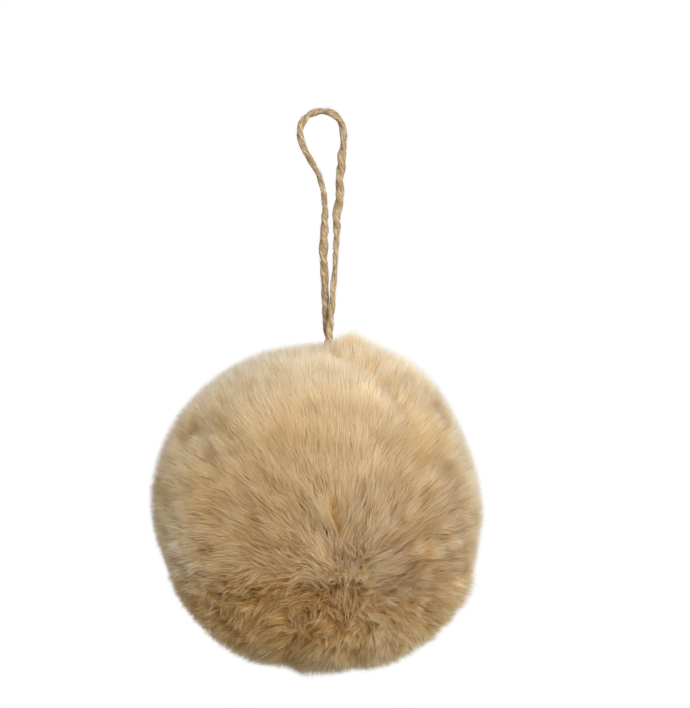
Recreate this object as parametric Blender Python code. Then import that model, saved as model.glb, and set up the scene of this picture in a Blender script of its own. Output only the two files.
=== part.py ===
# Fur ball on a hanging loop of jute twine.
#
# Metres, +Z up, the front faces -Y. The origin is the hanging point: the inside
# of the loop at its top, where a hook or a finger carries it. The ball hangs
# below, and its solid reaches to the tips of the pile.

import math

import bmesh
import bpy
from mathutils import Vector

MM = 0.001
CLEARANCE = 0.3 * MM

# The ball of fur.
BALL_RADIUS = 62.9 * MM
BALL_CENTRE = Vector((-1.3, 0.0, -148.3)) * MM
REST_SPOT_WIDTH = 22.0 * MM

# Lumps and hollows of the trimmed pile. "turn" goes round the ball as seen from
# the front, in degrees from +X over the top; "forward" leans from there towards
# the front; "rise" is the height in millimetres; "spread" the reach in degrees.
PILE_SHAPE = (
    # name                 turn  forward  rise  spread
    ("lock by the twine",    80,       1,  5.2,     7),
    ("right shoulder",       52,       3,  1.5,     8),
    ("crown slope",          97,       0, -1.1,     6),
    ("right flank",          16,       5, -1.7,    15),
    ("left flank",          160,       0,  1.0,    20),
    ("left nick",           200,       0, -1.6,     6),
    ("low left swell",      230,       8,  1.0,    18),
    ("left parting under",  256,       4, -2.6,     5),
    ("right parting under", 281,       4, -1.3,     6),
    ("low right swell",     316,       5,  3.0,    20),
    ("right nick",          344,       0, -1.6,     7),
    ("face swell",          300,      60,  1.2,    24),
    ("face flat",           130,      48, -1.0,    22),
    ("back swell",          110,     -50,  1.6,    24),
    ("back hollow",          20,     -55, -1.4,    20),
    ("back low swell",      235,     -48,  1.8,    22),
    ("back low hollow",     300,     -35, -1.2,    14),
)

# Partings, where the pile falls open along a line on the front: the line's points
# across and up from the ball's centre, its depth and its reach to either side, in
# millimetres.
PARTINGS = (
    # name           (across, up) ...                                                  depth  reach
    ("crown to right", ((6.3, 59.7), (18.0, 55.1), (27.1, 46.8), (34.6, 35.1), (39.5, 21.9)), 1.5, 3.4),
    ("upper left",     ((-48.4, 31.4), (-42.8, 32.9), (-36.3, 32.9), (-29.5, 28.7)),          1.6, 3.2),
    ("middle cleft",   ((5.9, 8.0), (5.9, 0.0), (4.4, -7.0)),                                 1.2, 2.8),
    ("right band",     ((40.3, -4.5), (45.9, -19.6), (42.9, -34.7)),                          1.0, 4.5),
)

TWINE_SEAT_DEPTH = 4.2 * MM
TWINE_SEAT_SPREAD = math.radians(4.6)

# The facets bridge the seat's hollow, so they lie a little above its true shape.
FACET_ALLOWANCE = 0.25 * MM

# The twine loop: a free tube from the crown, round the eye and back to the crown.
TWINE_DIAMETER = 3.0 * MM
LOOP_POINT_COUNT = 56

# Its route in millimetres, from the left foot up to the eye and down to the right
# foot. The feet's own heights come from the ball.
LOOP_ROUTE = (
    # x      y      z
    (2.7,   1.95, -85.6),
    (2.5,   1.95, -83.4),
    (1.7,   1.85, -78.0),
    (1.4,   1.60, -72.2),
    (1.2,   1.25, -65.6),
    (1.0,   0.90, -59.2),
    (0.6,   0.60, -51.2),
    (0.9,   0.35, -43.3),
    (1.2,   0.20, -37.7),
    (1.1,   0.10, -32.8),
    (0.3,   0.00, -27.2),
    (-1.6,  0.00, -21.6),
    (-4.6,  0.00, -16.4),
    (-7.2,  0.00, -11.3),
    (-8.2,  0.00, -6.5),
    (-7.1,  0.00, -2.45),
    (-4.1,  0.00, 0.5),
    (0.0,   0.00, 1.5),
    (4.1,   0.00, 0.5),
    (7.1,   0.00, -2.45),
    (8.2,   0.00, -6.6),
    (8.1,   0.00, -12.0),
    (7.4,   0.00, -18.3),
    (6.7,   0.00, -24.1),
    (6.9,   0.00, -28.2),
    (6.6,  -0.10, -32.8),
    (5.6,  -0.20, -37.7),
    (5.7,  -0.35, -43.3),
    (5.3,  -0.60, -51.2),
    (4.9,  -0.90, -59.2),
    (4.2,  -1.25, -65.6),
    (3.8,  -1.60, -72.2),
    (3.2,  -1.85, -78.0),
    (2.8,  -1.95, -83.4),
    (2.7,  -1.95, -85.4),
)
SEAT_DIRECTION = (Vector((2.7, 0.0, -86.6)) * MM - BALL_CENTRE).normalized()

FUR_COLOUR = (0.60, 0.45, 0.28, 1.0)
TWINE_COLOUR = (0.40, 0.30, 0.17, 1.0)


def clearScene():
    for item in list(bpy.data.objects):
        bpy.data.objects.remove(item, do_unlink=True)


def makeCollection(name):
    collection = bpy.data.collections.new(name)
    bpy.context.scene.collection.children.link(collection)
    return collection


def plainMaterial(name, colour, roughness):
    material = bpy.data.materials.new(name)
    material.use_nodes = True
    shader = material.node_tree.nodes["Principled BSDF"]
    shader.inputs["Base Color"].default_value = colour
    shader.inputs["Roughness"].default_value = roughness
    shader.inputs["Metallic"].default_value = 0.0
    return material


def lumpDirection(turn, forward):
    turn, forward = math.radians(turn), math.radians(forward)
    return Vector((math.cos(turn) * math.cos(forward),
                   -math.sin(forward),
                   math.sin(turn) * math.cos(forward)))


def bump(direction, centre, spread):
    return math.exp(-0.5 * (direction.angle(centre) / spread) ** 2)


def frontPoint(across, up):
    """The point of the round ball's front at this place, from its centre."""
    across, up = across * MM, up * MM
    return Vector((across, -math.sqrt(BALL_RADIUS ** 2 - across ** 2 - up ** 2), up))


def lineDistance(point, line):
    """Distance from the point to the nearest place on the line of points."""
    nearest = math.inf
    for start, end in zip(line, line[1:]):
        part = (point - start).dot(end - start) / (end - start).length_squared
        place = start.lerp(end, min(max(part, 0.0), 1.0))
        nearest = min(nearest, (point - place).length)
    return nearest


def partingDepth(direction):
    depth = 0.0
    for _, places, deepest, reach in PARTINGS:
        away = lineDistance(direction * BALL_RADIUS, [frontPoint(*place) for place in places])
        depth += deepest * MM * math.exp(-0.5 * (away / (reach * MM)) ** 2)
    return depth


def pileRadius(direction):
    """Distance from the ball's centre to the tips of the pile."""
    radius = BALL_RADIUS - partingDepth(direction)
    for _, turn, forward, rise, spread in PILE_SHAPE:
        radius += rise * MM * bump(direction, lumpDirection(turn, forward), math.radians(spread))
    return radius - TWINE_SEAT_DEPTH * bump(direction, SEAT_DIRECTION, TWINE_SEAT_SPREAD)


def pileHeight(x, y):
    """Height of the crown above the point x, y."""
    sideways = math.hypot(x - BALL_CENTRE.x, y - BALL_CENTRE.y)
    height = BALL_RADIUS
    for _ in range(6):
        direction = Vector((x - BALL_CENTRE.x, y - BALL_CENTRE.y, height)).normalized()
        height = math.sqrt(pileRadius(direction) ** 2 - sideways ** 2)
    return BALL_CENTRE.z + height


def restHeight():
    """Height of the flat spot that the ball is set down on."""
    half = REST_SPOT_WIDTH / 2
    lowest = pileRadius(Vector((0, 0, -1)))
    return BALL_CENTRE.z - math.sqrt(lowest ** 2 - half ** 2)


def makeFurBall(collection):
    bpy.ops.mesh.primitive_ico_sphere_add(subdivisions=5, radius=1.0)
    ball = bpy.context.object
    ball.name = ball.data.name = "fur_ball"
    for other in ball.users_collection:
        other.objects.unlink(ball)
    collection.objects.link(ball)

    mesh = bmesh.new()
    mesh.from_mesh(ball.data)
    for vertex in mesh.verts:
        direction = vertex.co.normalized()
        vertex.co = BALL_CENTRE + direction * pileRadius(direction)
    cut = bmesh.ops.bisect_plane(mesh, geom=mesh.verts[:] + mesh.edges[:] + mesh.faces[:],
                                 dist=0.00001, plane_co=(0, 0, restHeight()),
                                 plane_no=(0, 0, -1), clear_outer=True)
    rim = [item for item in cut["geom_cut"] if isinstance(item, bmesh.types.BMEdge)]
    bmesh.ops.contextual_create(mesh, geom=rim)
    bmesh.ops.recalc_face_normals(mesh, faces=mesh.faces)
    mesh.to_mesh(ball.data)
    mesh.free()
    ball.data.shade_smooth()
    ball.data.materials.append(plainMaterial("fur", FUR_COLOUR, 0.9))
    return ball


def curvePoint(before, start, end, after, part):
    """Catmull-Rom: the smooth curve between start and end."""
    return 0.5 * (2 * start + (end - before) * part
                  + (2 * before - 5 * start + 4 * end - after) * part ** 2
                  + (3 * start - before - 3 * end + after) * part ** 3)


def smoothRoute(points, count):
    """Evenly spaced points along the smooth curve through the given ones."""
    padded = [2 * points[0] - points[1]] + points + [2 * points[-1] - points[-2]]
    fine = [curvePoint(*padded[index:index + 4], step / 12)
            for index in range(len(points) - 1) for step in range(12)]
    fine.append(points[-1])
    travelled = [0.0]
    for start, end in zip(fine, fine[1:]):
        travelled.append(travelled[-1] + (end - start).length)
    route, index = [], 0
    for number in range(count):
        wanted = travelled[-1] * number / (count - 1)
        while index < len(fine) - 2 and travelled[index + 1] < wanted:
            index += 1
        part = (wanted - travelled[index]) / (travelled[index + 1] - travelled[index])
        route.append(fine[index].lerp(fine[index + 1], min(part, 1.0)))
    return route


def footHeight(foot):
    """Height at which the twine's round end stands clear of the ball's facets."""
    rim = [pileHeight(foot.x + TWINE_DIAMETER / 2 * math.cos(turn),
                      foot.y + TWINE_DIAMETER / 2 * math.sin(turn))
           for turn in (math.radians(45 * step) for step in range(8))]
    return max(rim) + FACET_ALLOWANCE + CLEARANCE


def makeHangingLoop(collection):
    points = [Vector(point) * MM for point in LOOP_ROUTE]
    for foot in (points[0], points[-1]):
        foot.z = footHeight(foot)
    route = smoothRoute(points, LOOP_POINT_COUNT)

    curve = bpy.data.curves.new("hanging_loop", "CURVE")
    curve.dimensions = "3D"
    curve.bevel_depth = TWINE_DIAMETER / 2
    curve.bevel_resolution = 2
    curve.use_fill_caps = True
    spline = curve.splines.new("POLY")
    spline.points.add(len(route) - 1)
    for target, point in zip(spline.points, route):
        target.co = (*point, 1.0)
    loop = bpy.data.objects.new("hanging_loop", curve)
    collection.objects.link(loop)
    curve.materials.append(plainMaterial("jute", TWINE_COLOUR, 0.95))
    return loop


clearScene()
furBallOnLoop = makeCollection("fur_ball_on_loop")
makeFurBall(furBallOnLoop)
makeHangingLoop(furBallOnLoop)
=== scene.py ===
import math

import bmesh
import bpy
import numpy as np
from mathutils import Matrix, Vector
from mathutils.bvhtree import BVHTree
from mathutils.kdtree import KDTree


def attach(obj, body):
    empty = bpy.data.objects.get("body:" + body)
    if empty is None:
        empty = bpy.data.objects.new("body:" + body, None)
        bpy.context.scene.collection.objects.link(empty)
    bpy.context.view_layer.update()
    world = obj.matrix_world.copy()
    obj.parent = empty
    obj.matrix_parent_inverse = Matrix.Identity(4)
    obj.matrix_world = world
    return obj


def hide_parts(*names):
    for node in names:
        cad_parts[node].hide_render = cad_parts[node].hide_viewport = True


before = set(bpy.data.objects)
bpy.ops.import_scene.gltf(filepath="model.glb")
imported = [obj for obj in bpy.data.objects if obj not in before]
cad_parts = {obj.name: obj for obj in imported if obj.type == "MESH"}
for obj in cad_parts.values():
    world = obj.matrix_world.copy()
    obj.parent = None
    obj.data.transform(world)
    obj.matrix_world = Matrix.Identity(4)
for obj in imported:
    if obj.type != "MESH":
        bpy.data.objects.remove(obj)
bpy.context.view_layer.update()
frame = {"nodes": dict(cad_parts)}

mm = 0.001
ballCentre = np.array((-1.3, 0.0, -148.3)) * mm
ballRadius = 62.9  # mm, of the plain round ball
print("frame loaded:", ", ".join(frame["nodes"]))

# The camera looks level, straight at the front, and takes in the whole hanging thing.
shot = {
    "distance": 1.2,  # metres from the lens to the ball
    "pixelsPerMm": 2.65,  # at the ball
    "frameHeight": 708,  # pixels
    "frameCentre": (345, 354),
    "hangPoint": (321.8, 115.2),  # where the origin shows
    "sensor": 36.0,
}


def aimCamera():
    pixel = mm / shot["pixelsPerMm"]  # one pixel's size at the ball
    across = (shot["frameCentre"][0] - shot["hangPoint"][0]) * pixel
    up = (shot["hangPoint"][1] - shot["frameCentre"][1]) * pixel
    data = bpy.data.cameras.new("shotCamera")
    data.sensor_width = shot["sensor"]
    data.lens = shot["sensor"] * shot["distance"] / (shot["frameHeight"] * pixel)
    camera = bpy.data.objects.new("shotCamera", data)
    camera.location = (across, -shot["distance"], up)
    camera.rotation_euler = (math.radians(90), 0, 0)
    bpy.context.scene.collection.objects.link(camera)
    bpy.context.scene.camera = camera


aimCamera()
print("camera placed")


def softNoise(places, size, seed):
    # a smooth random field, about -1 to 1: waves of about this size in random directions
    count = 18  # waves, whose sum is within about 3
    rng = np.random.default_rng(seed)
    waves = rng.normal(size=(count, 3))
    lengths = np.linalg.norm(waves, axis=1, keepdims=True)
    waves *= rng.uniform(0.7, 1.5, (count, 1)) * 2 * math.pi / size / lengths
    return np.sin(places @ waves.T + rng.uniform(0, 2 * math.pi, count)).sum(1) / 3


def unit(vectors):
    return vectors / np.maximum(np.linalg.norm(vectors, axis=-1, keepdims=True), 1e-12)


def meshFromArrays(name, vertices, faces, uvs):
    # faces is a list of arrays, each of quads or of triangles; uvs has one row a vertex
    mesh = bpy.data.meshes.new(name)
    mesh.vertices.add(len(vertices))
    mesh.vertices.foreach_set("co", vertices.astype(np.float32).ravel())
    corners = np.concatenate([part.ravel() for part in faces]).astype(np.int32)
    counts = np.concatenate([np.full(len(part), part.shape[1]) for part in faces])
    starts = np.concatenate([[0], np.cumsum(counts)[:-1]]).astype(np.int32)
    mesh.loops.add(len(corners))
    mesh.loops.foreach_set("vertex_index", corners)
    mesh.polygons.add(len(starts))
    mesh.polygons.foreach_set("loop_start", starts)
    mesh.polygons.foreach_set("use_smooth", np.ones(len(starts), bool))
    mesh.uv_layers.new(name="OFBake").data.foreach_set("uv", uvs[corners].astype(np.float32).ravel())
    mesh.update(calc_edges=True)
    mesh.validate()
    piece = bpy.data.objects.new(name, mesh)
    bpy.context.scene.collection.objects.link(piece)
    return piece


# A fibre's colour goes from deep to tip along it, and towards warm where its tone is low.
fibreRamp = {
    "toMiddle": (0.25, 0.8),  # where along the fibre deep turns into middle
    "toTip": (0.55, 1.0),
    "warmBelow": 0.6,  # the tone below which it is warmer
    "warmMost": 0.45,  # the share of warm at tone 0
}


def mathNode(nodes, links, operation, *values):
    # each value is a number or the output of another node
    node = nodes.new("ShaderNodeMath")
    node.operation = operation
    for socket, value in zip(node.inputs, values):
        if isinstance(value, float):
            socket.default_value = value
        else:
            links.new(value, socket)
    return node.outputs[0]


def fibreColourGroup():
    group = bpy.data.node_groups.new("fibreColour", "ShaderNodeTree")
    sockets = group.interface
    for name, usual in (("Along", 0.5), ("Tone", 0.5), ("Tone Spread", 0.3)):
        socket = sockets.new_socket(name=name, in_out="INPUT", socket_type="NodeSocketFloat")
        socket.default_value = usual
    for name in ("Deep", "Middle", "Tip", "Warm"):
        socket = sockets.new_socket(name=name, in_out="INPUT", socket_type="NodeSocketColor")
        socket.default_value = (0.5, 0.5, 0.5, 1)
    sockets.new_socket(name="Colour", in_out="OUTPUT", socket_type="NodeSocketColor")
    nodes, links = group.nodes, group.links
    given = nodes.new("NodeGroupInput").outputs

    def ranged(source, low, high, toLow=0.0, toHigh=1.0):
        node = nodes.new("ShaderNodeMapRange")
        node.interpolation_type = "SMOOTHSTEP"
        links.new(source, node.inputs["Value"])
        node.inputs["From Min"].default_value = low
        node.inputs["From Max"].default_value = high
        node.inputs["To Min"].default_value = toLow
        node.inputs["To Max"].default_value = toHigh
        return node.outputs["Result"]

    def mixed(first, second, share=None, mode="MIX"):
        # sockets 0, 6 and 7 are the share and the two colours, and output 2 is the colour
        node = nodes.new("ShaderNodeMix")
        node.data_type = "RGBA"
        node.blend_type = mode
        node.inputs[0].default_value = 1.0
        if share is not None:
            links.new(share, node.inputs[0])
        links.new(first, node.inputs[6])
        links.new(second, node.inputs[7])
        return node.outputs[2]

    colour = mixed(given["Deep"], given["Middle"], ranged(given["Along"], *fibreRamp["toMiddle"]))
    colour = mixed(colour, given["Tip"], ranged(given["Along"], *fibreRamp["toTip"]))
    warmth = ranged(given["Tone"], 0.0, fibreRamp["warmBelow"], fibreRamp["warmMost"], 0.0)
    colour = mixed(colour, given["Warm"], warmth)
    centred = mathNode(nodes, links, "SUBTRACT", given["Tone"], 0.5)
    level = mathNode(nodes, links, "MULTIPLY_ADD", centred, given["Tone Spread"], 1.0)
    colour = mixed(colour, level, mode="MULTIPLY")
    links.new(colour, nodes.new("NodeGroupOutput").inputs["Colour"])
    return group


fibreColour = fibreColourGroup()


def newMaterial(name):
    material = bpy.data.materials.new(name)
    material.use_nodes = True
    nodes = material.node_tree.nodes
    return material, nodes, material.node_tree.links, nodes["Principled BSDF"]


def colourNode(nodes, links, look, along, tone):
    node = nodes.new("ShaderNodeGroup")
    node.node_tree = fibreColour
    node.inputs["Tone Spread"].default_value = look["toneSpread"]
    for name in ("Deep", "Middle", "Tip", "Warm"):
        node.inputs[name].default_value = (*look[name.lower()], 1)
    links.new(along, node.inputs["Along"])
    links.new(tone, node.inputs["Tone"])
    return node.outputs["Colour"]


def bumpNode(nodes, links, height, strength, depth):
    node = nodes.new("ShaderNodeBump")
    node.inputs["Strength"].default_value = strength
    node.inputs["Distance"].default_value = depth * mm
    links.new(height, node.inputs["Height"])
    return node.outputs["Normal"]


furLook = {
    # deep, at the roots low in the pile, is partly the fibre's own colour and partly painted shade
    "deep": (0.77, 0.53, 0.22),
    "middle": (0.905, 0.766, 0.468),
    "tip": (0.967, 0.963, 0.925),
    "warm": (0.85, 0.645, 0.33),
    "toneSpread": 0.36,
    "roughness": 0.62,
    "specular": 0.12,
    "throughLight": 0.5,  # share of light that passes through a strand
}


def furMaterial():
    # the strands' own map holds a strand's tone across and its root to tip upwards, both darkened by
    # painted shade and lifted by painted light
    material, nodes, links, shader = newMaterial("furFibre")
    place = nodes.new("ShaderNodeUVMap")
    place.uv_map = "OFBake"
    parts = nodes.new("ShaderNodeSeparateXYZ")
    links.new(place.outputs["UV"], parts.inputs[0])
    colour = colourNode(nodes, links, furLook, parts.outputs["Y"], parts.outputs["X"])
    links.new(colour, shader.inputs["Base Color"])
    shader.inputs["Roughness"].default_value = furLook["roughness"]
    shader.inputs["Specular IOR Level"].default_value = furLook["specular"]
    through = nodes.new("ShaderNodeBsdfTranslucent")
    links.new(colour, through.inputs["Color"])
    blend = nodes.new("ShaderNodeMixShader")
    blend.inputs[0].default_value = furLook["throughLight"]
    links.new(shader.outputs[0], blend.inputs[1])
    links.new(through.outputs[0], blend.inputs[2])
    links.new(blend.outputs[0], nodes["Material Output"].inputs["Surface"])
    return material


# The pile's ground: its colours are partly the pile's own and partly painted shade deep in the pile.
groundLook = {
    "dark": (0.42, 0.25, 0.09),
    "light": (0.62, 0.40, 0.17),
    "darkBelow": 0.12,  # the level of the noise below which it is all dark
    "lightAbove": 0.42,
    "grain": 900.0,
    "grainDetail": 4,
    "patch": 60.0,
    "bump": (0.8, 0.6),  # strength, and mm
    "roughness": 0.95,
}


def groundMaterial():
    material, nodes, links, shader = newMaterial("furGround")
    place = nodes.new("ShaderNodeTexCoord")
    grain = nodes.new("ShaderNodeTexNoise")
    grain.inputs["Scale"].default_value = groundLook["grain"]
    grain.inputs["Detail"].default_value = groundLook["grainDetail"]
    patch = nodes.new("ShaderNodeTexNoise")
    patch.inputs["Scale"].default_value = groundLook["patch"]
    for noise in (grain, patch):
        links.new(place.outputs["Object"], noise.inputs["Vector"])
    both = mathNode(nodes, links, "MULTIPLY", grain.outputs["Fac"], patch.outputs["Fac"])
    ramp = nodes.new("ShaderNodeValToRGB")
    dark, light = ramp.color_ramp.elements
    dark.position = groundLook["darkBelow"]
    dark.color = (*groundLook["dark"], 1)
    light.position = groundLook["lightAbove"]
    light.color = (*groundLook["light"], 1)
    links.new(both, ramp.inputs["Fac"])
    links.new(ramp.outputs["Color"], shader.inputs["Base Color"])
    normal = bumpNode(nodes, links, grain.outputs["Fac"], *groundLook["bump"])
    links.new(normal, shader.inputs["Normal"])
    shader.inputs["Roughness"].default_value = groundLook["roughness"]
    return material


juteLook = {
    "deep": (0.25, 0.155, 0.075),
    "middle": (0.56, 0.42, 0.245),
    "tip": (0.80, 0.69, 0.50),
    "warm": (0.40, 0.25, 0.11),
    "toneSpread": 0.6,
    # scale round a ply and along the twine, detail and roughness of the noise
    "streaks": ((19, 48, 1), 5, 0.62),
    "patches": ((6, 30, 1), 2, 0.5),
    "deepBelow": 0.24,  # the level of the streaks below which they are all deep
    "tipAbove": 0.74,
    "bump": (0.7, 0.14),  # strength, and mm
    "roughness": 0.9,
    "specular": 0.15,
    "sheen": 0.3,
}


def juteMaterial():
    # the twine's map runs round each ply and along it, so the streaks follow the fibres
    material, nodes, links, shader = newMaterial("juteFibre")
    place = nodes.new("ShaderNodeUVMap")
    place.uv_map = "OFBake"

    def drawnOut(scale, detail, roughness):
        stretched = nodes.new("ShaderNodeMapping")
        stretched.inputs["Scale"].default_value = scale
        links.new(place.outputs["UV"], stretched.inputs["Vector"])
        noise = nodes.new("ShaderNodeTexNoise")
        noise.inputs["Scale"].default_value = 1.0
        noise.inputs["Detail"].default_value = detail
        noise.inputs["Roughness"].default_value = roughness
        links.new(stretched.outputs["Vector"], noise.inputs["Vector"])
        return noise.outputs["Fac"]

    streaks = drawnOut(*juteLook["streaks"])
    patches = drawnOut(*juteLook["patches"])
    spread = nodes.new("ShaderNodeMapRange")
    links.new(streaks, spread.inputs["Value"])
    spread.inputs["From Min"].default_value = juteLook["deepBelow"]
    spread.inputs["From Max"].default_value = juteLook["tipAbove"]
    # the same streaks give the colour and the bump, so the grooves are deep: partly the fibres' own
    # streaks, partly painted shade in the grooves
    colour = colourNode(nodes, links, juteLook, spread.outputs["Result"], patches)
    links.new(colour, shader.inputs["Base Color"])
    links.new(bumpNode(nodes, links, streaks, *juteLook["bump"]), shader.inputs["Normal"])
    shader.inputs["Roughness"].default_value = juteLook["roughness"]
    shader.inputs["Specular IOR Level"].default_value = juteLook["specular"]
    shader.inputs["Sheen Weight"].default_value = juteLook["sheen"]
    return material


furFibre = furMaterial()
furGround = groundMaterial()
juteFibre = juteMaterial()
print("materials made")


# The loop's route in millimetres, from the left foot up to the eye and down to the right foot.
# Both feet run on a little way into the pile.
loopRoute = (
    (2.5, 1.75, -91.0), (2.7, 1.95, -85.4), (2.5, 1.95, -83.4), (1.7, 1.85, -78.0),
    (1.4, 1.60, -72.2), (1.2, 1.25, -65.6), (1.0, 0.90, -59.2), (0.6, 0.60, -51.2),
    (0.9, 0.35, -43.3), (1.2, 0.20, -37.7), (1.1, 0.10, -32.8), (0.3, 0.00, -27.2),
    (-1.6, 0.00, -21.6), (-4.6, 0.00, -16.4), (-7.2, 0.00, -11.3), (-8.2, 0.00, -6.5),
    (-7.1, 0.00, -2.45), (-4.1, 0.00, 0.5), (0.0, 0.00, 1.5), (4.1, 0.00, 0.5),
    (7.1, 0.00, -2.45), (8.2, 0.00, -6.6), (8.1, 0.00, -12.0), (7.4, 0.00, -18.3),
    (6.7, 0.00, -24.1), (6.9, 0.00, -28.2), (6.6, -0.10, -32.8), (5.6, -0.20, -37.7),
    (5.7, -0.35, -43.3), (5.3, -0.60, -51.2), (4.9, -0.90, -59.2), (4.2, -1.25, -65.6),
    (3.8, -1.60, -72.2), (3.2, -1.85, -78.0), (2.8, -1.95, -83.4), (2.7, -1.95, -85.4),
    (2.5, -1.75, -91.0),
)
# The twine's thickness in millimetres at distances along it: jute is spun unevenly.
twineThickness = (
    (0, 3.1), (9, 3.1), (14, 2.8), (20, 2.6), (29, 3.05), (36, 3.3), (44, 3.35), (49, 2.8),
    (56, 2.3), (64, 2.1), (72, 2.2), (92, 2.7), (112, 2.6), (126, 3.15), (138, 3.35), (143, 3.0),
    (151, 2.4), (160, 2.0), (166, 1.95), (174, 2.25), (182, 2.3), (188, 2.9), (197, 3.1),
)
twine = {
    "diameter": 3.0,  # mm, as bought
    "ringStep": 0.45,  # mm
    "across": 13,  # points across each ply
    "lay": 14.5,  # mm, the length of one full twist of the two plies
    "startTurn": 1.1,  # radians
    "wander": (0.5, 24),  # how far the twist wanders in radians, over this many mm
    "plyRadius": 0.80,  # this and the next four are shares of the twine's half thickness
    "plyOffset": 0.26,
    "crease": 0.13,  # depth of the valley between the plies
    "fibreRelief": 0.035,
    "uneven": (0.07, 11),  # how much a ply's thickness differs, over this many mm
    "creaseReach": 0.24,  # radians
    "fibres": ((0.55, 61), (1.1, 71)),  # how fine the raised fibres are, and a seed for each
    "fibreStretch": 0.2,  # how much slower they change along the twine
    "seed": 11,
}
looseFibres = {
    "count": 1500,
    "points": 5,  # along each
    "bareRings": 24,  # at each foot
    "reach": (0.1, 1.7),  # mm that they stand out, at the least and at the most
    "reachSpread": (1.6, 0.36),  # shape and scale of how the reach is spread between
    "run": (1.0, 4.5),  # mm along the twine
    "curl": 0.4,  # mm
    "halfWidth": (0.04, 0.085),  # mm
    "long": (13.5, 2.4),  # a single long one: how far along the twine it leaves, and its reach, in mm
    "longRun": 0.4,
}


def smoothRoute(points, step):
    # evenly spaced points along the smooth curve through the given ones
    points = np.array(points) * mm
    padded = np.vstack([2 * points[0] - points[1], points, 2 * points[-1] - points[-2]])
    fineSteps = 40  # between two given points
    part = np.linspace(0, 1, fineSteps, endpoint=False)[:, None]
    runs = []
    for before, start, end, after in zip(padded, padded[1:], padded[2:], padded[3:]):
        runs.append(0.5 * (2 * start + (end - before) * part
                           + (2 * before - 5 * start + 4 * end - after) * part ** 2
                           + (3 * start - before - 3 * end + after) * part ** 3))
    fine = np.vstack(runs + [points[-1:]])
    travelled = np.concatenate([[0], np.cumsum(np.linalg.norm(np.diff(fine, axis=0), axis=1))])
    places = np.linspace(0, travelled[-1], int(travelled[-1] / (step * mm)) + 1)
    return np.stack([np.interp(places, travelled, fine[:, axis]) for axis in range(3)], 1), places


def carriedAxes(route):
    # two directions across the route, carried along it without twisting
    forward = unit(np.gradient(route, axis=0))
    across = np.zeros_like(route)
    across[0] = unit(np.cross(forward[0], (0, 1, 0)))
    for index in range(1, len(route)):
        turned = across[index - 1] - forward[index] * np.dot(across[index - 1], forward[index])
        across[index] = unit(turned)
    return across, np.cross(forward, across)


def alongNoise(travelled, size, seed):
    return softNoise(travelled[:, None] * (1.0, 0.0, 0.0), size * mm, seed)


def halfThickness(travelled):
    return np.interp(travelled / mm, *zip(*twineThickness))[:, None] / 2 * mm


def plyStrip(ply, route, travelled, across, side):
    # the outer face of one ply: a lobed strip wound round the route, from crease to crease
    count, seed = twine["across"], twine["seed"]
    wander, wanderSize = twine["wander"]
    uneven, unevenSize = twine["uneven"]
    turn = -2 * math.pi * travelled / (twine["lay"] * mm) + math.pi * ply + twine["startTurn"]
    turn = (turn + wander * alongNoise(travelled, wanderSize, seed + 5))[:, None]
    swing = np.linspace(-0.5, 0.5, count)[None] * math.pi
    share = (1 + uneven * alongNoise(travelled, unevenSize, seed + 8 + ply))[:, None]
    radius = twine["plyRadius"] * share
    offset = twine["plyOffset"]
    reach = offset * np.cos(swing) + np.sqrt(radius ** 2 - (offset * np.sin(swing)) ** 2)
    toCrease = (math.pi / 2 - np.abs(swing)) / twine["creaseReach"]
    reach = reach - twine["crease"] * np.exp(-toCrease ** 2)
    angle = turn + swing
    raised = np.zeros(angle.shape)
    slow = travelled[:, None] / mm * twine["fibreStretch"] + 0 * angle
    for fineness, fibreSeed in twine["fibres"]:
        around = np.stack([np.cos(angle) * fineness, np.sin(angle) * fineness, slow], -1)
        raised += softNoise(around.reshape(-1, 3), 1.0, fibreSeed + ply).reshape(angle.shape)
    reach = reach + twine["fibreRelief"] * raised * np.cos(swing) ** 0.7  # none in the creases
    outward = across[:, None] * np.cos(angle)[..., None] + side[:, None] * np.sin(angle)[..., None]
    points = route[:, None] + (halfThickness(travelled) * reach)[..., None] * outward
    uvs = np.empty((*angle.shape, 2))
    uvs[..., 0] = (ply + 0.03 + 0.94 * np.linspace(0, 1, count)) / 2  # each ply has its half of the map
    uvs[..., 1] = (travelled / travelled[-1])[:, None]
    grid = np.arange(angle.size).reshape(angle.shape)
    quads = np.stack([grid[:-1, :-1], grid[:-1, 1:], grid[1:, 1:], grid[1:, :-1]], -1).reshape(-1, 4)
    return points.reshape(-1, 3), quads, uvs.reshape(-1, 2)


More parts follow.
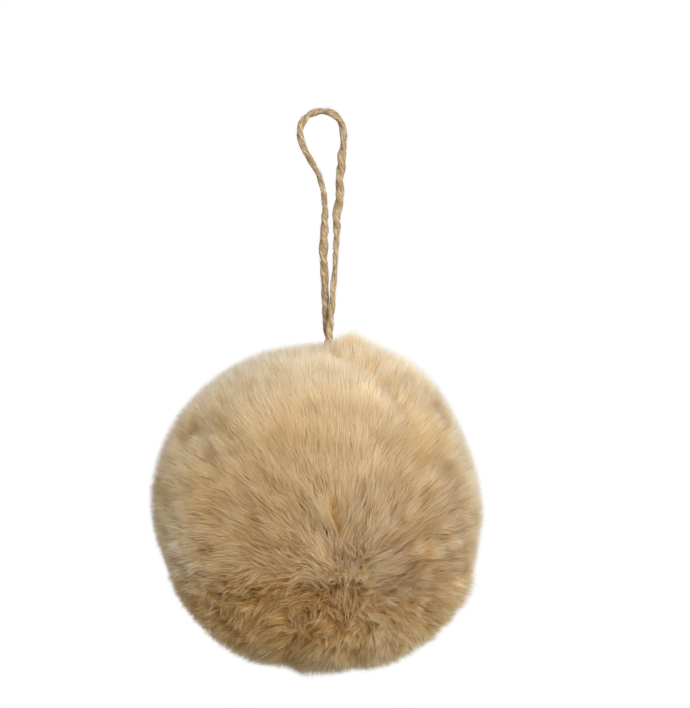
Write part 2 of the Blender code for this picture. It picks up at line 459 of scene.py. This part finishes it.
def looseFibreRibbons(route, travelled, across, side):
    # fine stray fibres that leave the twine at a slant and curl
    rng = np.random.default_rng(twine["seed"] + 40)
    count, points, bare = looseFibres["count"], looseFibres["points"], looseFibres["bareRings"]
    start = rng.integers(bare, len(route) - bare, count)
    turn = rng.uniform(0, 2 * math.pi, count)
    outward = across[start] * np.cos(turn)[:, None] + side[start] * np.sin(turn)[:, None]
    forward = unit(np.gradient(route, axis=0))[start] * rng.choice((-1, 1), count)[:, None]
    reach = rng.gamma(*looseFibres["reachSpread"], count).clip(*looseFibres["reach"])[:, None] * mm
    run = rng.uniform(*looseFibres["run"], count)[:, None] * mm
    place, far = looseFibres["long"]
    start[0] = place / twine["ringStep"]
    outward[0] = (-1, 0, 0)
    reach[0] = far * mm
    run[0] = looseFibres["longRun"] * mm
    half = halfThickness(travelled[start])
    curl = unit(rng.normal(size=(count, 3)))
    part = np.linspace(0, 1, points)[:, None, None]  # 0 inside the twine and 1 at the fibre's end
    lines = (route[start] + outward * half * 0.85 + outward * reach * part ** 1.4
             + forward * run * part + curl * looseFibres["curl"] * mm * np.sin(part * 3.0) * part)
    width = rng.uniform(*looseFibres["halfWidth"], count)[:, None] * mm * (1 - 0.6 * part)
    flat = unit(np.cross(forward, outward)) * width
    vertices = np.stack([lines - flat, lines + flat], 2).transpose(1, 0, 2, 3)
    base = np.arange(count)[:, None] * points * 2 + np.arange(points - 1)[None] * 2
    quads = np.stack([base, base + 1, base + 3, base + 2], -1).reshape(-1, 4)
    uvs = np.empty((count, points, 2, 2))
    uvs[..., 0] = rng.uniform(0.05, 0.95, count)[:, None, None] + np.array((-0.004, 0.004))
    ownPlace = (travelled[start] / travelled[-1])[:, None, None]
    uvs[..., 1] = ownPlace + np.linspace(0, 0.02, points)[None, :, None]
    return vertices.reshape(-1, 3), quads, uvs.reshape(-1, 2)


def makeTwine():
    route, travelled = smoothRoute(loopRoute, twine["ringStep"])
    across, side = carriedAxes(route)
    made = [plyStrip(ply, route, travelled, across, side) for ply in (0, 1)]
    made.append(looseFibreRibbons(route, travelled, across, side))
    starts = np.cumsum([0] + [len(vertices) for vertices, _, _ in made])
    quads = np.vstack([part + first for (_, part, _), first in zip(made, starts)])
    piece = meshFromArrays("juteLoop", np.vstack([vertices for vertices, _, _ in made]), [quads],
                           np.vstack([uvs for _, _, uvs in made]))
    piece.data.materials.append(juteFibre)
    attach(piece, "root")
    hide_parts("hanging_loop")
    print(f"twine loop: {travelled[-1] / mm:.1f} mm of twine, {len(piece.data.polygons)} faces")


makeTwine()


pile = {
    "strands": 300000,
    "wisps": 25000,
    "tufts": 1600,
    "seed": 7,
    "length": 18.0,  # mm, from the hidden root to the tip
    "rise": 0.90,  # mm that the tips stand over the plain solid
    "bend": 1.4,  # the power by which a strand leans more towards its tip
    "lengthSpread": (0.92, 1.06),  # the shortest and the longest strands, as shares of the length
    "ownLean": 0.3,  # share of a strand's lean that is its own, where the rest is its wisp's
    "ownPush": 0.3,  # share of a parting's push that it gets once more on its own
    "sinks": 0.6,  # how far it drops with its wisp
    "gatherBend": 2.5,  # the power by which a wisp closes more towards its tip
    "gatherSpread": (0.5, 1.2),  # how differently single strands are gathered, as shares
    "widthSpread": (0.7, 1.25),  # and how differently wide they are
    # each of these pairs is for smooth fur and for ruffled fur
    "width": (0.15, 0.23),  # mm
    "gather": (0.12, 0.34),  # how far a wisp's tips close together
    "roll": (0.15, 1.4),  # how far the strands' flat sides turn from facing outward, in radians
    "tuftStray": (0.05, 0.17),  # how much each tuft's lean differs from its neighbours'
    "stray": (0.045, 0.17),  # how much each wisp's does
    "spread": (0.05, 0.15),  # how much each strand's does
    "tuftDrop": (0.10, 1.05),  # mm, how unevenly the tufts stand
    "wispDrop": (0.08, 2.0),  # mm, how unevenly the wisps do
    "drop": (0.08, 0.75),  # mm, how unevenly the strands do
    "tuftTone": (0.03, 0.12),  # how much the tufts' tones differ
    "wispTone": (0.04, 0.20),  # how much the wisps' do
    "tone": (0.02, 0.34),  # how much the strands' do
    "sunkPaintedShade": (0.04, 0.16),  # painted shade: how much darker a tip is for each mm it is sunk
    # the rest is for all fur
    "tousle": (0.20, 0.14),  # how much more the tufts' and the wisps' leans differ in tousled places
    "hollows": (0.1, 0.4, 0.11),  # mm deep, mm deeper where ruffled, and their share of the radius
    "tuftLimits": (-0.4, 2.0),  # mm, the most that a tuft stands up, below 0, and sinks
    "fluff": (0.12, 0.32),  # mm, how far single strands stand out: on the whole and underneath
    "beneath": (0.55, 0.12),  # how far down underneath is and how softly it starts, in radii
    "underShare": 0.35,  # share of strands that stand lower than the rest
    "underDrop": (0.4, 4.0),  # mm, and how much lower
    "flyShare": 0.03,  # share of strands that fly away from the rest
    "flyRise": (0.2, 1.3),  # mm, how far
    "flyGather": 0.2,  # how much of the gather they have
    "flyWidth": 0.5,  # and of the width
    "kink": 0.16,  # mm, how crooked a strand is at its middle
    "points": (0.34, 0.76, 1.0),  # shares of the length where a strand has points: the rest is hidden
    "taper": (1.0, 0.8),  # its width at the first two
    "shades": (0.08, 0.62, 0.985),  # how far its colour is from deep to tip at each
    "paintedShadeTone": 0.45,  # how much darker a tip is where painted shade falls
    "paintedShadeAlong": 0.72,  # and how much browner, also as painted shade
    "partingPaintedShade": (0.22, 2.0),  # painted shade: how much browner it is in a parting that is this many mm deep
    "mottle": 0.07,  # how much the shades of ruffled strands differ
    "toneDrifts": ((0.05, 0.28, 91), (0.04, 0.12, 93)),  # how much, over what share, and a seed
    # half of how ruffled the underside is, then the height and the softness of the change in radii
    "ruffledBelow": (0.225, 0.04, 0.32),
    # the same for the painted shade on the tips, where "up" points to the upper right, the side painted
    # lit
    "paintedShadeBelow": (0.095, 0.25, 0.5),
    "paintedLitSide": (0.45, 0, 0.89),
}
groundDepth = 11.0  # mm, from the tips to the closed ground of the pile

# The comb of the pile. Seen from the front, it parts from a middle that moves with the height,
# all as shares of the ball's radius; the back has a middle of its own.
combMiddle = (
    # height across  up
    (-0.60,  0.22,  -0.44),
    (-0.35,  0.23,  -0.465),
    (0.10,   0.15,  -0.41),
    (0.30,   0.10,  -0.34),
    (0.50,   0.07,  -0.25),
)
comb = {
    "backMiddle": (-0.25, -0.10),
    "sides": 0.25,  # how softly the front's middle gives way to the back's
    "pull": 0.85,  # how far all strands lean away from the side that the middle is on
    "flat": 0.42,  # how flat the pile is laid away from the middle
    "ruffledFlat": 0.4,  # how much less flat ruffled fur is laid
    "span": 0.12,  # how far from the middle it already lies half as flat
    "line": (0.08, 0.25, -0.48, 0.15),  # the middle drawn out into a line: from, to, up and fade
    "drift": (0.065, 0.42),  # how much the lean wanders, and over what share of the radius
    "fineDrift": (0.04, 0.15),
    "ruffledDrift": 0.17,  # how much more of the fine drift ruffled fur has
}

# Where it is combed some other way: places across and up from the ball's centre and the reach,
# in millimetres, and the added lean.
combPlaces = (
    # name              (across, up)   reach  lean across, up
    ("left rim",        (-56, -12),    24,    (0.00, -0.34)),
    ("low left",        (-30, -44),    20,    (0.08, -0.42)),
    ("right rim",       (56, -14),     24,    (0.00, -0.30)),
    ("right of middle", (22, -24),     13,    (0.27, -0.13)),
)

# Where the pile stands higher or lower than the plain solid: a place, its reach and the rise in
# millimetres.
lifts = (
    # name                 (across, up)    reach  rise
    ("left of the lock",   (3.0, 62.7),    1.8,  -1.4),
    ("lock's left end",    (6.9, 62.5),    1.6,   1.8),
    ("lock by the twine",  (12.0, 61.4),   3.2,   2.3),
    ("right of the lock",  (18.0, 60.0),   2.2,  -0.7),
    ("below the lock",     (31.0, 48.0),   5.5,   1.7),
    ("further below",      (36.5, 31.0),   5.0,   1.2),
    ("right shoulder",     (28.0, 56.0),   8.0,   2.5),
    ("upper right",        (43.5, 45.0),   9.0,   0.8),
    ("right flank",        (62.0, 4.0),    8.0,   0.6),
    ("left nick",          (-60.6, -16.0), 8.0,  -0.6),
    ("low left",           (-40.4, -48.2), 5.0,  -0.6),
    ("low left parting",   (-15.4, -60.9), 3.0,  -3.4),
    ("low right parting",  (10.9, -61.7),  3.0,  -2.0),
    ("low middle swell",   (21.5, -58.9),  5.0,   0.5),
    ("low right swell",    (54.5, -31.0),  6.0,   1.5),
    ("middle",             (19.0, -28.0), 10.0,   0.8),
    ("above the middle",   (12.0, -15.0),  6.5,   0.8),
)

# Where the pile of the front is ruffled, or smoother below 0: a place, its reach across and up in
# millimetres and how much.
ruffledPlaces = (
    # name                 (across, up)   reach       amount
    ("low on the face",    (-11, -40),    (32, 11),   1.10),
    ("right of middle",    (30, -23),     (15, 13),  -0.28),
    ("underneath",         (3, -62.5),    (45, 8),   -0.50),
    ("below the middle",   (16, -40),     (8, 7),    -0.25),
)

# Where the tufts point every way: a place, its reach in millimetres and how much.
tousledPlaces = (
    # name                 (across, up)   reach  amount
    ("around the middle",  (17, -28),     9,     0.8),
    ("right of middle",    (30, -21),     10,    0.9),
    ("above the middle",   (11, -16),     8,     0.6),
    ("below the middle",   (16, -40),     8,     0.7),
)

# Where painted shade makes the tips browner and darker, or painted light makes them paler below 0: a
# place, its reach in millimetres and how much.
paintedShadingPlaces = (
    # name                  (across, up)   reach   amount
    ("upper face",          (2, 33),       17,     0.10),
    ("top of the face",     (2, 45),       14,     0.05),
    ("left of upper face",  (-21, 27),     8,      0.08),
    ("by the upper right",  (39, 27),      8,      0.11),
    ("upper left face",     (-16, 38),     12,     0.06),
    ("upper right",         (43, 33),      9,      0.15),
    ("right of upper face", (36, 17),      9,      0.08),
    ("left cheek",          (-43, 12),     10,     0.17),
    ("left of middle",      (-18, 4),      8,      0.06),
    ("right of middle",     (38, 0),       6,      0.08),
    ("left rim",            (-55, -12),    12,    -0.10),
    ("low left rim",        (-53, -23),    8,     -0.14),
    ("low left cheek",      (-37, -9),     8,      0.06),
    ("low left",            (-37, -40),    8,     -0.08),
    ("middle",              (10, -16),     12,    -0.10),
    ("right of the cleft",  (24, 4),       8,     -0.05),
    ("left of the middle",  (-2, -26),     9,     -0.07),
    ("low right",           (24, -44),     10,    -0.09),
    ("below the middle",    (20, -31),     12,    -0.09),
    ("right cheek",         (44, -20),     16,    -0.08),
    ("under the band",      (46, -28),     7,     -0.10),
    ("right rim",           (54, -3),      12,    -0.08),
    ("low on the face",     (-10, -41),    13,     0.03),
    ("under the patch",     (-42, 25),     6,     -0.10),
    ("by the twine",        (7.6, 61.8),   2.0,    0.12),
    ("on the lock",         (20.2, 57.0),  2.5,    0.14),
    ("under the lock",      (14.7, 55.5),  3.0,    0.10),
    ("crown right",         (24.2, 50.5),  2.0,    0.14),
    ("further right",       (28.3, 45.6),  1.8,    0.14),
    ("upper left patch",    (-34, 37),     6,      0.11),
    ("left of the patch",   (-46, 29),     6,     -0.08),
    ("right spot",          (41, 22.5),    2.5,    0.10),
    ("right band",          (43, -14),     4.0,    0.08),
)

# Partings, where the pile falls open: a line of places on the front, how deep it opens, its
# reach, and where the strands beyond the line are pushed.
partings = (
    # name             places, then depth, reach and push
    ("crown to right", ((6.6, 58.5), (16.5, 55.6), (24.5, 50.0)),
     1.6, 3.4, (0.3, 0.4)),
    ("upper left",     ((-47.5, 31.0), (-42.8, 31.9), (-36.3, 31.7), (-33.0, 30.6)),
     1.1, 4.0, (0.0, 0.5)),
    ("middle cleft",   ((4.9, 7.5), (5.8, 2.5), (6.9, -2.5)),
     5.0, 1.7, (0.4, 0.1)),
    ("right band",     ((36.0, 0.0), (41.5, -10.0), (44.5, -22.0), (40.0, -36.0)),
     1.3, 4.4, (0.4, 0.0)),
    ("low left",       ((-15.4, -60.9), (-14.5, -52.0), (-9.0, -46.0)),
     4.4, 3.4, (0.3, 0.0)),
    ("low right",      ((12.0, -61.7), (11.0, -52.0)),
     2.0, 3.0, (0.3, 0.0)),
)


def evenDirections(count, seed, jitter):
    # directions spread evenly over the ball along a golden spiral
    rng = np.random.default_rng(seed)
    index = np.arange(count) + 0.5
    height = 1 - 2 * index / count
    turn = math.pi * (1 + math.sqrt(5)) * index
    flat = np.sqrt(1 - height ** 2)
    made = np.stack([flat * np.cos(turn), flat * np.sin(turn), height], 1)
    return unit(made + rng.normal(size=made.shape) * jitter / math.sqrt(count))


ballSolid = frame["nodes"]["fur_ball"].data
ballShape = BVHTree.FromPolygons([vertex.co[:] for vertex in ballSolid.vertices],
                                 [face.vertices[:] for face in ballSolid.polygons])


def pileRadii(directions):
    # distance from the ball's centre to its outside
    centre = Vector(ballCentre)
    far = Vector((0, 0, 0))
    radii = np.empty(len(directions))
    for index, direction in enumerate(directions.tolist()):
        far[:] = direction
        radii[index] = ballShape.ray_cast(centre, far)[3]
    return radii


def onFront(across, up):
    # the direction of a place on the front
    return np.array((across, -math.sqrt(ballRadius ** 2 - across ** 2 - up ** 2), up)) / ballRadius


def nearness(directions, place, reach):
    # 1 at a place on the front, and less with the distance from it
    away = np.linalg.norm(directions - onFront(*place), axis=1) * ballRadius
    return np.exp(-0.5 * (away / reach) ** 2)


def between(pair, share):
    return pair[0] + (pair[1] - pair[0]) * share


def ruffled(directions):
    # 0 where the pile lies smooth, at the crown, to 1 where it is ruffled, low on the front
    half, height, softness = pile["ruffledBelow"]
    ruffle = half - half * np.tanh((directions[:, 2] - height) / softness)
    for _, place, reach, amount in ruffledPlaces:
        away = ((directions - onFront(*place))[:, (0, 2)] * ballRadius / reach) ** 2
        ruffle += amount * np.exp(-0.5 * away.sum(1)) * (directions[:, 1] < 0)
    return ruffle.clip(0, 1.2)


def tousled(directions):
    tousle = np.zeros(len(directions))
    for _, place, reach, amount in tousledPlaces:
        tousle += amount * nearness(directions, place, reach)
    return tousle


def paintedShading(directions):
    # painted shade and painted light: how much browner and darker the pile's tips are than high on the
    # right
    half, height, softness = pile["paintedShadeBelow"]
    paintedShade = half - half * np.tanh((directions @ pile["paintedLitSide"] - height) / softness)
    for _, place, reach, amount in paintedShadingPlaces:
        paintedShade += amount * nearness(directions, place, reach)
    return paintedShade


def lifted(directions):
    rise = np.zeros(len(directions))
    for _, place, reach, height in lifts:
        rise += height * mm * nearness(directions, place, reach)
    return rise + pile["rise"] * mm


def levelled(leans, directions):
    return leans - (leans * directions).sum(1, keepdims=True) * directions


def combCentre(directions, seen):
    # the middle that the pile parts from, for strands at these directions
    heights, across, up = np.array(combMiddle).T
    height = seen[:, 2]
    middle = np.stack([np.interp(height, heights, across), 0 * height,
                       np.interp(height, heights, up)], 1)
    left, right, level, fade = comb["line"]
    onLine = np.exp(-((height - level) / fade) ** 2)
    middle[:, 0] += (seen[:, 0].clip(left, right) - middle[:, 0]) * onLine
    front = 0.5 + 0.5 * np.tanh(-directions[:, 1:2] / comb["sides"])
    back = np.array((comb["backMiddle"][0], 0, comb["backMiddle"][1]))
    return middle * front + back * (1 - front)


def combedLean(directions):
    seen = directions * (1, 0, 1)
    middle = combCentre(directions, seen)
    toMiddle = (middle * directions).sum(1, keepdims=True)
    outward = seen - middle
    away = np.linalg.norm(outward, axis=1, keepdims=True)
    ruffle = ruffled(directions)
    flatness = comb["flat"] * (1 - comb["ruffledFlat"] * ruffle[:, None])
    lean = -comb["pull"] * middle / (1 - toMiddle)
    lean = lean + flatness * outward / np.sqrt(away ** 2 + comb["span"] ** 2)
    for _, place, reach, (across, up) in combPlaces:
        lean += nearness(directions, place, reach)[:, None] * (across, 0, up)
    wide, wideSize = comb["drift"]
    fine, fineSize = comb["fineDrift"]
    fine = fine + comb["ruffledDrift"] * ruffle
    seed = pile["seed"]
    drift = np.stack([wide * softNoise(directions, wideSize, seed + axis)
                      + fine * softNoise(directions, fineSize, seed + 3 + axis)
                      for axis in range(3)], 1)
    return levelled(lean + drift, directions)


def partingOpen(directions):
    # how far the partings open the pile at these directions, and the push that they give
    depth = np.zeros(len(directions))
    push = np.zeros_like(directions)
    for _, places, deepest, reach, toward in partings:
        line = [onFront(*place) for place in places]
        nearestAway = np.full(len(directions), 9.0)
        nearestSide = np.zeros(len(directions))
        for start, end in zip(line, line[1:]):
            part = ((directions - start) @ (end - start) / np.dot(end - start, end - start)).clip(0, 1)
            offset = directions - start - part[:, None] * (end - start)
            away = np.linalg.norm(offset, axis=1)
            closer = away < nearestAway
            nearestAway[closer] = away[closer]
            nearestSide[closer] = (offset @ np.array((toward[0], 0, toward[1])))[closer]
        # it closes more steeply on the side that isn't pushed, and opens unevenly along its length
        span = np.where(nearestSide > 0, reach, 0.35 * reach) / ballRadius
        uneven = (0.8 + 0.4 * softNoise(directions, 0.2, seed=33)).clip(0.45, 1.3)
        near = np.exp(-0.5 * (nearestAway / span) ** 2) * uneven
        depth += deepest * mm * near
        push += near[:, None] * (toward[0], 0, toward[1])
    return depth, push


def nearest(places, targets):
    tree = KDTree(len(targets))
    for index, target in enumerate(targets.tolist()):
        tree.insert(target, index)
    tree.balance()
    return np.array([tree.find(place)[1] for place in places.tolist()])


def strandPoint(directions, radii, lengths, leans, part):
    # part is 0 at the root and 1 at the tip
    back = leans * (lengths / radii * (1 - part ** pile["bend"]))[:, None]
    return ballCentre + unit(directions - back) * (radii - lengths * (1 - part))[:, None]


def growWisps(rng):
    # where the wisps stand, how high and dark their tips are and how they lean, in tufts
    wisps = evenDirections(pile["wisps"], pile["seed"] + 1, 1.1)
    tufts = evenDirections(pile["tufts"], pile["seed"] + 2, 1.0)
    tuftOf = nearest(wisps, tufts)
    tuftRuffle, ruffle = ruffled(tufts), ruffled(wisps)
    tuftStray = between(pile["tuftStray"], tuftRuffle) + pile["tousle"][0] * tousled(tufts)
    stray = between(pile["stray"], ruffle) + pile["tousle"][1] * tousled(wisps)
    tuftLean = rng.normal(size=(len(tufts), 3)) * tuftStray[:, None]
    tuftDrop = rng.normal(size=len(tufts)) * between(pile["tuftDrop"], tuftRuffle) * mm
    opened, push = partingOpen(wisps)
    leans = levelled(combedLean(wisps) + tuftLean[tuftOf]
                     + rng.normal(size=wisps.shape) * stray[:, None] + push, wisps)
    drop = np.abs(rng.normal(size=len(wisps))) * between(pile["wispDrop"], ruffle) * mm
    highest, lowest = pile["tuftLimits"]
    drop += tuftDrop[tuftOf].clip(highest * mm, lowest * mm)
    deep, deeper, hollowSize = pile["hollows"]
    drop += (deep + deeper * ruffle) * (1 + softNoise(wisps, hollowSize, seed=55)).clip(0, 2) * mm
    tone = rng.normal(size=len(wisps)) * between(pile["wispTone"], ruffle)
    tone += (rng.normal(size=len(tufts)) * between(pile["tuftTone"], tuftRuffle))[tuftOf]
    radii = pileRadii(wisps) + lifted(wisps) - drop - opened
    return wisps, radii, leans, drop, tone


def strandColours(rng, directions, ruffle, wispTone, opened, sunk):
    # each strand's place on its map: its tone across and how lit it is upwards, both carrying painted
    # light and shade
    count = len(directions)
    # painted shade and painted light on the tips, by place
    paintedShade = paintedShading(directions)
    tone = 0.5 - pile["paintedShadeTone"] * paintedShade + wispTone
    tone += between(pile["tone"], ruffle) * rng.normal(size=count)
    for amount, size, seed in pile["toneDrifts"]:
        tone += amount * softNoise(directions, size, seed)
    tone = tone.clip(0.03, 0.97)  # so that a strand stays within its map
    partingPaintedShade, depth = pile["partingPaintedShade"]
    # painted shade: the tips darken in partings, where the painted shading is high and where they are
    # sunk
    shade = 1 - partingPaintedShade * (opened / (depth * mm)).clip(0, 1) - pile["paintedShadeAlong"] * paintedShade
    shade -= between(pile["sunkPaintedShade"], ruffle) * (sunk / mm).clip(0, 3)
    shade -= ruffle * pile["mottle"] * rng.uniform(size=count)
    uvs = np.empty((count, 5, 2))
    uvs[..., 0] = tone[:, None] + 0.004 * np.array((-1, 1, -1, 1, 0))
    uvs[..., 1] = np.repeat(pile["shades"], (2, 2, 1)) * shade[:, None]
    return uvs


def strandRibbons(rng, directions, points, widths, ruffle):
    # five vertices a strand: two at each of the first two points and one at the tip
    count = len(directions)
    forward = unit(np.stack([points[:, 1] - points[:, 0], points[:, 2] - points[:, 0]], 1))
    flat = unit(np.cross(forward, directions[:, None]))
    other = np.cross(forward, flat)
    roll = (rng.uniform(-1, 1, count) * between(pile["roll"], ruffle))[:, None, None]
    across = flat * np.cos(roll) + other * np.sin(roll)
    half = across * np.array(pile["taper"])[None, :, None] * widths[:, None, None] / 2
    pairs = np.stack([points[:, :2] - half, points[:, :2] + half], 2).reshape(count, 4, 3)
    return np.concatenate([pairs, points[:, 2:]], 1)


def growPile():
    rng = np.random.default_rng(pile["seed"])
    directions = evenDirections(pile["strands"], pile["seed"], 1.2)
    wisps, wispRadii, wispLeans, wispDrop, wispTone = growWisps(rng)
    count = len(directions)
    wispOf = nearest(directions, wisps)
    ruffle = ruffled(directions)

    opened, push = partingOpen(directions)
    ownLean = pile["ownLean"]
    stray = rng.normal(size=directions.shape) * between(pile["spread"], ruffle)[:, None]
    leans = levelled(combedLean(directions) * ownLean + wispLeans[wispOf] * (1 - ownLean)
                     + push * pile["ownPush"] + stray, directions)

    under = rng.uniform(size=count) < pile["underShare"]
    drop = np.abs(rng.normal(size=count)) * between(pile["drop"], ruffle) * mm
    drop += under * rng.uniform(*pile["underDrop"], count) * mm
    flyaway = (rng.uniform(size=count) < pile["flyShare"]) & ~under
    down, softness = pile["beneath"]
    beneath = 1 / (1 + np.exp((directions[:, 2] + down) / softness))  # 1 on the underside of the ball
    over = rng.exponential(1.0, count) * between(pile["fluff"], beneath) * mm
    over += flyaway * rng.uniform(*pile["flyRise"], count) * mm
    sunk = pile["sinks"] * wispDrop[wispOf]
    radii = pileRadii(directions) + lifted(directions) - sunk - opened - drop + over
    lengths = pile["length"] * mm * rng.uniform(*pile["lengthSpread"], count)
    gather = between(pile["gather"], ruffle) * rng.uniform(*pile["gatherSpread"], count)
    gather = gather * np.where(flyaway, pile["flyGather"], 1)
    widths = between(pile["width"], ruffle) * mm * rng.uniform(*pile["widthSpread"], count)
    widths = widths * np.where(flyaway, pile["flyWidth"], 1)
    uvs = strandColours(rng, directions, ruffle, wispTone[wispOf], opened, sunk + drop)

    points = []
    for part in pile["points"]:
        own = strandPoint(directions, radii, lengths, leans, part)
        led = strandPoint(wisps, wispRadii, pile["length"] * mm, wispLeans, part)[wispOf]
        points.append(own + (led - own) * (gather * part ** pile["gatherBend"])[:, None])
    points[1] += rng.normal(size=directions.shape) * pile["kink"] * mm
    return directions, strandRibbons(rng, directions, np.stack(points, 1), widths, ruffle), uvs


regionNames = ("pileLeft", "pileRight", "pileFront", "pileBack", "pileUnder", "pileCrown")


def regionOf(directions):
    # which of the six sides of the ball a strand stands on
    axis = np.abs(directions).argmax(1)
    return axis * 2 + (directions[np.arange(len(directions)), axis] > 0)


def makePile():
    directions, vertices, uvs = growPile()
    region = regionOf(directions)
    for number, name in enumerate(regionNames):
        held = region == number
        count = int(held.sum())
        first = np.arange(count)[:, None] * 5
        faces = [first + (0, 1, 3, 2), first + (2, 3, 4)]
        piece = meshFromArrays(name, vertices[held].reshape(-1, 3), faces, uvs[held].reshape(-1, 2))
        piece.data.materials.append(furFibre)
        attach(piece, "root")
        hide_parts("fur_ball")
        print(f"{name}: {count} strands, {count * 3} triangles")


def makeGround():
    # the closed, dense ground of the pile that shows dark in its partings, its colour partly the pile's
    # own and partly painted shade deep in the pile
    shape = bmesh.new()
    bmesh.ops.create_icosphere(shape, subdivisions=6, radius=1)
    directions = unit(np.array([vertex.co[:] for vertex in shape.verts]))
    radii = pileRadii(directions) - groundDepth * mm
    for vertex, direction, radius in zip(shape.verts, directions, radii):
        vertex.co = ballCentre + direction * radius
    mesh = bpy.data.meshes.new("pileGround")
    shape.to_mesh(mesh)
    shape.free()
    mesh.shade_smooth()
    piece = bpy.data.objects.new("pileGround", mesh)
    bpy.context.scene.collection.objects.link(piece)
    mesh.materials.append(furGround)
    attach(piece, "root")
    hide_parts("fur_ball")
    print(f"pileGround: {len(mesh.polygons)} faces")


makeGround()
makePile()


studio = {
    "floorHeight": -0.50,  # metres
    "floorRadius": 2.3,
    "floorColour": (0.92, 0.92, 0.92, 1),
    "background": (1, 1, 1, 1),
    # the light from all round: heights from 0 straight down to 1 straight up, and how bright
    "glow": ((0.2, 0.30), (0.9, 0.84), (1.0, 1.0)),
    "keyPower": 25.0,  # watts
    "keySize": 0.9,  # metres, and so is its place
    "keyPlace": (0.66, -1.46, 0.22),
}


def makeWorld():
    world = bpy.data.worlds.new("studio")
    bpy.context.scene.world = world
    world.use_nodes = True
    nodes, links = world.node_tree.nodes, world.node_tree.links
    glow = nodes["Background"]
    place = nodes.new("ShaderNodeTexCoord")
    parts = nodes.new("ShaderNodeSeparateXYZ")
    links.new(place.outputs["Generated"], parts.inputs[0])
    height = nodes.new("ShaderNodeMapRange")
    height.inputs["From Min"].default_value = -1
    links.new(parts.outputs["Z"], height.inputs["Value"])
    ramp = nodes.new("ShaderNodeValToRGB")
    ramp.color_ramp.elements.new(0.5)
    for index, (level, bright) in enumerate(studio["glow"]):
        ramp.color_ramp.elements[index].position = level
        ramp.color_ramp.elements[index].color = (bright, bright, bright, 1)
    links.new(height.outputs["Result"], ramp.inputs["Fac"])
    links.new(ramp.outputs["Color"], glow.inputs["Color"])
    plain = nodes.new("ShaderNodeBackground")
    plain.inputs["Color"].default_value = studio["background"]
    seen = nodes.new("ShaderNodeLightPath")
    blend = nodes.new("ShaderNodeMixShader")
    links.new(seen.outputs["Is Camera Ray"], blend.inputs[0])
    links.new(glow.outputs[0], blend.inputs[1])
    links.new(plain.outputs[0], blend.inputs[2])
    links.new(blend.outputs[0], nodes["World Output"].inputs["Surface"])


def makeFloor():
    shape = bmesh.new()
    bmesh.ops.create_circle(shape, cap_ends=True, radius=studio["floorRadius"], segments=96)
    bmesh.ops.translate(shape, verts=shape.verts, vec=(0, 0, studio["floorHeight"]))
    mesh = bpy.data.meshes.new("floor")
    shape.to_mesh(mesh)
    shape.free()
    floor = bpy.data.objects.new("floor", mesh)
    bpy.context.scene.collection.objects.link(floor)
    material, _, _, shader = newMaterial("paleFloor")
    shader.inputs["Base Color"].default_value = studio["floorColour"]
    shader.inputs["Roughness"].default_value = 0.8
    mesh.materials.append(material)
    floor.visible_diffuse = floor.visible_transmission = False  # the light from below is the world's


def makeKeyLight():
    data = bpy.data.lights.new("keyLight", "AREA")
    data.energy = studio["keyPower"]
    data.size = studio["keySize"]
    light = bpy.data.objects.new("keyLight", data)
    light.location = studio["keyPlace"]
    toBall = Vector(ballCentre) - Vector(studio["keyPlace"])
    light.rotation_euler = toBall.to_track_quat("-Z", "Y").to_euler()
    bpy.context.scene.collection.objects.link(light)


makeWorld()
makeFloor()
makeKeyLight()
bpy.context.scene.view_settings.view_transform = "Standard"
print("studio lit")
